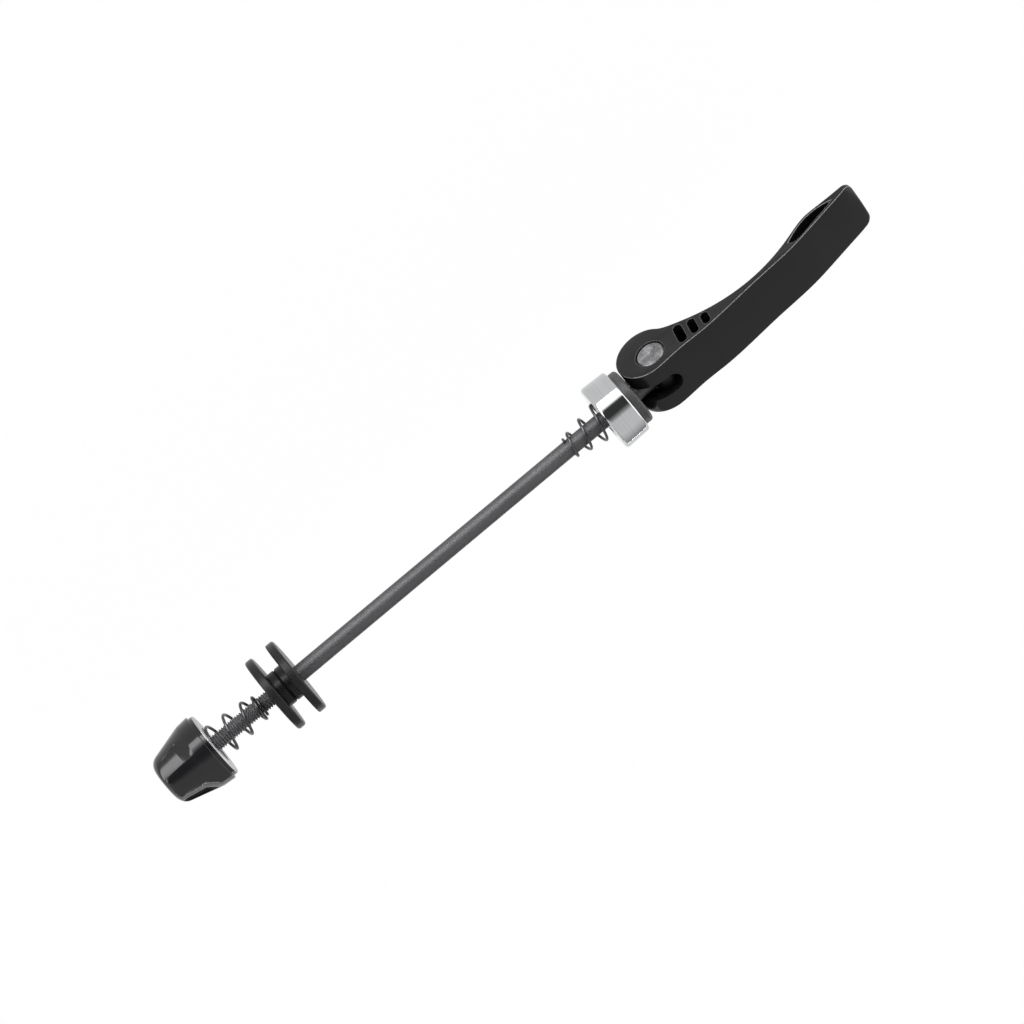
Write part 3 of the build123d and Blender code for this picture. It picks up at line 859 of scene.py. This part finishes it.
# Lock ring: a moulded nylon collar that grips the thread, so that the nut can't work loose.
# It is pressed in behind the insert, out of sight in the cap.
ring_low, ring_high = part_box("nut_lock_ring")
ring_edge = 0.15
lock_nylon = surface_finish(
    "lock_nylon", (0.62, 0.62, 0.58), (0.74, 0.74, 0.70), 0.0, (0.40, 0.55), 0.5, 0.006
)
ring_outline = rounded([
    (ring_low.x / mm, running_radius, ring_edge),
    (ring_low.x / mm, ring_high.y / mm, ring_edge),
    (ring_high.x / mm, ring_high.y / mm, ring_edge),
    (ring_high.x / mm, running_radius, ring_edge),
])
ring_skin = revolved(ring_outline, even_angles(hex_columns), closed=True)
lock_ring = solid("lock_ring", ring_skin, lock_nylon)
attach(lock_ring, "nut")
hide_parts("nut_lock_ring")


# Nut cap: a black gloss-painted casting over the insert, with a round collar and a cone to a domed end.
# Four flat-floored pockets let into the cone give the fingers a grip.
cap_low, cap_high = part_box("nut_cap")
cap_x = cap_low.x / mm
cap_end_x = cap_high.x / mm
cap_dome = 0.5
cap_collar_radius = 11.0
cap_collar_end_radius = 10.6
cap_collar_length = 5.0
cap_end_radius = 7.2
cap_end_round = 3.8
cap_rim_round = 0.35
cap_bend_round = 1.2
pocket_count = 4
pocket_angle = 38.0
pocket_phase = 69.0
pocket_depth = 0.9
pocket_end_depth = 0.45
pocket_ramp = 4.2
pocket_wall = 1.8
pocket_flatness = 0.6
pocket_tilt = 0.35
pocket_crease = 0.12
seat_clearance = 0.05
cap_bore_spare = 2.5
cap_row_span = 0.6
cap_angle_step = 3
pocket_wall_steps = 8
pocket_wall_reach = 5
cap_bore_end_x = rod_tip_x + cap_bore_spare
cap_cone_end_x = cap_end_x - cap_dome
collar_end_x = cap_x + cap_collar_length
cone_slope = (cap_collar_end_radius - cap_end_radius) / (cap_cone_end_x - collar_end_x)
pocket_floor_x = collar_end_x + pocket_ramp
pocket_floor_radius = cap_collar_end_radius - cone_slope * pocket_ramp - pocket_depth
floor_slope = (pocket_floor_radius - cap_end_radius + pocket_end_depth) / (cap_cone_end_x - pocket_floor_x)


def pocket_floor(along):
    """Radius of the pocket's floor in its middle: a ramp down from the collar, then a gentler cone."""
    if along > pocket_floor_x:
        return pocket_floor_radius - floor_slope * (along - pocket_floor_x)
    down = (along - collar_end_x) / pocket_ramp
    return cap_collar_end_radius + (pocket_floor_radius - cap_collar_end_radius) * down


def from_pocket(angle):
    """Angle in degrees from the middle of the nearest pocket, with its sign."""
    spacing = 360 / pocket_count
    return (math.degrees(angle) - pocket_phase + spacing / 2) % spacing - spacing / 2


def in_pocket(angle):
    """How deep an angle lies in a pocket: nothing on the lands, 1 on the floor, and smooth on the walls."""
    return smooth_step((pocket_angle / 2 + pocket_wall / 2 - abs(from_pocket(angle))) / pocket_wall)


def cap_radius(along, radius):
    """Radius by angle of the cap at one place of its outline, with the pockets' floors let into it."""
    if along <= collar_end_x:
        return radius
    down = min(1, (along - collar_end_x) / pocket_ramp)

    def reach(angle):
        aside = max(-1, min(1, from_pocket(angle) / (pocket_angle / 2)))
        bulge = 1 / math.cos(math.radians(aside * pocket_angle / 2)) - 1
        floor = pocket_floor(along) * (1 + pocket_flatness * bulge) + pocket_tilt * down * aside
        return radius - max(0, radius - floor) * in_pocket(angle)

    return reach


cap_outline = rounded([
    (cap_x, cap_collar_radius, cap_rim_round),
    (collar_end_x, cap_collar_end_radius, cap_bend_round),
    (cap_cone_end_x, cap_end_radius, cap_end_round),
    (cap_end_x, 0, 0),
], steps=10)
crease_rows = []
for along in (pocket_floor_x - pocket_crease, pocket_floor_x, pocket_floor_x + pocket_crease):
    crease_rows.append((along, cap_collar_end_radius - cone_slope * (along - collar_end_x)))
bend = next(index for index, point in enumerate(cap_outline) if point[0] > crease_rows[0][0])
cap_outline[bend:bend] = crease_rows
outside_rows = []
for here, ahead in zip(cap_outline, cap_outline[1:] + cap_outline[-1:]):
    spans = max(1, math.ceil(math.dist(here, ahead) / cap_row_span))
    for span in range(spans):
        share = span / spans
        along, radius = (first + (last - first) * share for first, last in zip(here, ahead))
        outside_rows.append((along, radius if radius == 0 else cap_radius(along, radius)))
insert_clear = insert_radius + seat_clearance
hex_clear = hexagon(hex_corner_radius + seat_clearance)
ring_clear = ring_high.y / mm + seat_clearance
bore_rows = [
    (cap_bore_end_x, 0),
    (cap_bore_end_x, running_radius),
    (ring_high.x / mm, running_radius),
    (ring_high.x / mm, ring_clear),
    (insert_end_x, ring_clear),
    (insert_end_x, hex_clear),
    (insert_back_x, hex_clear),
    (insert_back_x, insert_clear),
    (cap_x, insert_clear),
]
cap_angles = set(range(0, 360, cap_angle_step))
for pocket in range(pocket_count):
    for side in (-1, 1):
        edge = pocket_phase + 360 * pocket / pocket_count + side * pocket_angle / 2
        for step in range(-pocket_wall_reach, pocket_wall_reach + 1):
            cap_angles.add((edge + pocket_wall * step / pocket_wall_steps) % 360)
nut_black = surface_finish(
    "nut_black", (0.005, 0.005, 0.006), (0.009, 0.009, 0.010), 0.0, (0.10, 0.16), 0.5, 0.001,
    cloud=12.0, specular=0.36,
)
nut_skin = revolved(bore_rows + outside_rows, [math.radians(angle) for angle in sorted(cap_angles)])
nut_cap = solid("nut_cap_black", nut_skin, nut_black)
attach(nut_cap, "nut")
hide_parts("nut_cap")


# Table top: a wide pale sheet, bright to the camera and in reflections, with a soft shadow left on it.
# It lies below the held-up skewer, clear of the lever where that swings straight down.
table_size = 6.0
table_glow_share = 0.93
table_clearance = 2.0
table_shade = 0.95
table_roughness = 0.9
table_z = -(math.hypot(pivot_x - lever_tip_x, lever_high.z / mm) + table_clearance) * mm
table_skin = bmesh.new()
bmesh.ops.create_grid(table_skin, x_segments=1, y_segments=1, size=table_size)
bmesh.ops.translate(table_skin, verts=table_skin.verts, vec=(0, 0, table_z))
table_white = bpy.data.materials.new("table_white")
table_white.use_nodes = True
table_tree = table_white.node_tree
table_shader = table_tree.nodes["Principled BSDF"]
table_shader.inputs["Base Color"].default_value = (table_shade, table_shade, table_shade, 1)
table_shader.inputs["Roughness"].default_value = table_roughness
table_shader.inputs["Specular IOR Level"].default_value = 0.0
table_glow = table_tree.nodes.new("ShaderNodeEmission")
table_rays = table_tree.nodes.new("ShaderNodeLightPath").outputs
seen = calc(table_tree, "MAXIMUM", table_rays["Is Camera Ray"], table_rays["Is Glossy Ray"])
seen = calc(table_tree, "MAXIMUM", seen, table_rays["Is Transmission Ray"])
table_mix = table_tree.nodes.new("ShaderNodeMixShader")
table_tree.links.new(calc(table_tree, "MULTIPLY", seen, table_glow_share), table_mix.inputs[0])
table_tree.links.new(table_shader.outputs[0], table_mix.inputs[1])
table_tree.links.new(table_glow.outputs[0], table_mix.inputs[2])
table_tree.links.new(table_mix.outputs[0], table_tree.nodes["Material Output"].inputs["Surface"])
table = solid("table", table_skin, table_white)


# Studio: soft light from low in front, from a wide ceiling and from the lever's side.
# Its brightness goes by the height angle from the front, over the top to the back, with a dark gap
# round the camera.
front_light = 8.0
ceiling_light = 0.92
side_light = 2.4
side_from = 0.62
side_full = 0.78
camera_gap = 0.06
studio_levels = (
    (0, front_light), (14, front_light), (22, 0.3 * front_light), (31, camera_gap), (58, camera_gap),
    (68, 0.4 * ceiling_light), (78, ceiling_light), (130, ceiling_light), (150, 0.78 * ceiling_light),
    (165, 0.55 * ceiling_light), (180, 0.3 * ceiling_light),
)

studio = bpy.data.worlds.new("studio")
studio.use_nodes = True
bpy.context.scene.world = studio
studio_tree = studio.node_tree
studio_way = studio_tree.nodes.new("ShaderNodeSeparateXYZ")
studio_place = studio_tree.nodes.new("ShaderNodeTexCoord").outputs["Generated"]
studio_tree.links.new(studio_place, studio_way.inputs[0])
towards_front = calc(studio_tree, "MULTIPLY", studio_way.outputs["Y"], -1.0)
height_angle = calc(studio_tree, "ARCTAN2", studio_way.outputs["Z"], towards_front)
studio_ramp = studio_tree.nodes.new("ShaderNodeValToRGB")
studio_tree.links.new(calc(studio_tree, "DIVIDE", height_angle, math.pi), studio_ramp.inputs["Fac"])
studio_stops = studio_ramp.color_ramp.elements
while len(studio_stops) < len(studio_levels):
    studio_stops.new(0.5)
for stop, (degrees, level) in zip(studio_stops, studio_levels):
    share = level / front_light
    stop.position = degrees / 180
    stop.color = (share, share, share, 1)
to_side = studio_tree.nodes.new("ShaderNodeMapRange")
to_side.interpolation_type = "SMOOTHSTEP"
to_side.inputs["From Min"].default_value = side_from
to_side.inputs["From Max"].default_value = side_full
towards_lever = calc(studio_tree, "MULTIPLY", studio_way.outputs["X"], -1.0)
studio_tree.links.new(towards_lever, to_side.inputs["Value"])
studio_mix = studio_tree.nodes.new("ShaderNodeMix")
studio_mix.data_type = "RGBA"
studio_tree.links.new(to_side.outputs["Result"], studio_mix.inputs["Factor"])
studio_tree.links.new(studio_ramp.outputs["Color"], studio_mix.inputs["A"])
studio_mix.inputs["B"].default_value = (*[side_light / front_light] * 3, 1)
studio_light = studio_tree.nodes["Background"]
studio_tree.links.new(studio_mix.outputs["Result"], studio_light.inputs["Color"])
studio_light.inputs["Strength"].default_value = front_light

bpy.context.scene.view_settings.view_transform = "Standard"


# Camera: a long lens looking down on the skewer from in front, rolled so that the rod runs slantwise.
# Its lens follows from the picture's scale and the distance.
camera_elevation = math.radians(50)
rod_slant = math.radians(39.87)
pixels_per_mm = 3.572
picture_width = 1024
camera_distance = 1300.0
camera_sensor = 36.0
camera_reach = 20.0
camera_foot_x = 56.5
camera_target = Vector((36.2, 2.63, 2.21)) * mm
camera_data = bpy.data.cameras.new("camera")
camera_data.sensor_width = camera_sensor
camera_data.lens = pixels_per_mm * camera_distance * camera_sensor / picture_width
camera_data.clip_end = camera_reach
to_camera = Vector((0, -math.cos(camera_elevation), math.sin(camera_elevation)))
to_camera.x = (camera_foot_x - camera_target.x / mm) / camera_distance
to_camera.normalize()
to_lever = Vector((-1, 0, 0)) + to_camera * to_camera.x
to_lever.normalize()
across = to_camera.cross(to_lever)
camera_right = to_lever * math.cos(rod_slant) - across * math.sin(rod_slant)
camera_up = to_lever * math.sin(rod_slant) + across * math.cos(rod_slant)
camera = bpy.data.objects.new("camera", camera_data)
camera_turn = Matrix((camera_right, camera_up, to_camera)).transposed().to_4x4()
camera_place = camera_target + to_camera * camera_distance * mm
camera.matrix_world = Matrix.Translation(camera_place) @ camera_turn
bpy.context.scene.collection.objects.link(camera)
bpy.context.scene.camera = camera
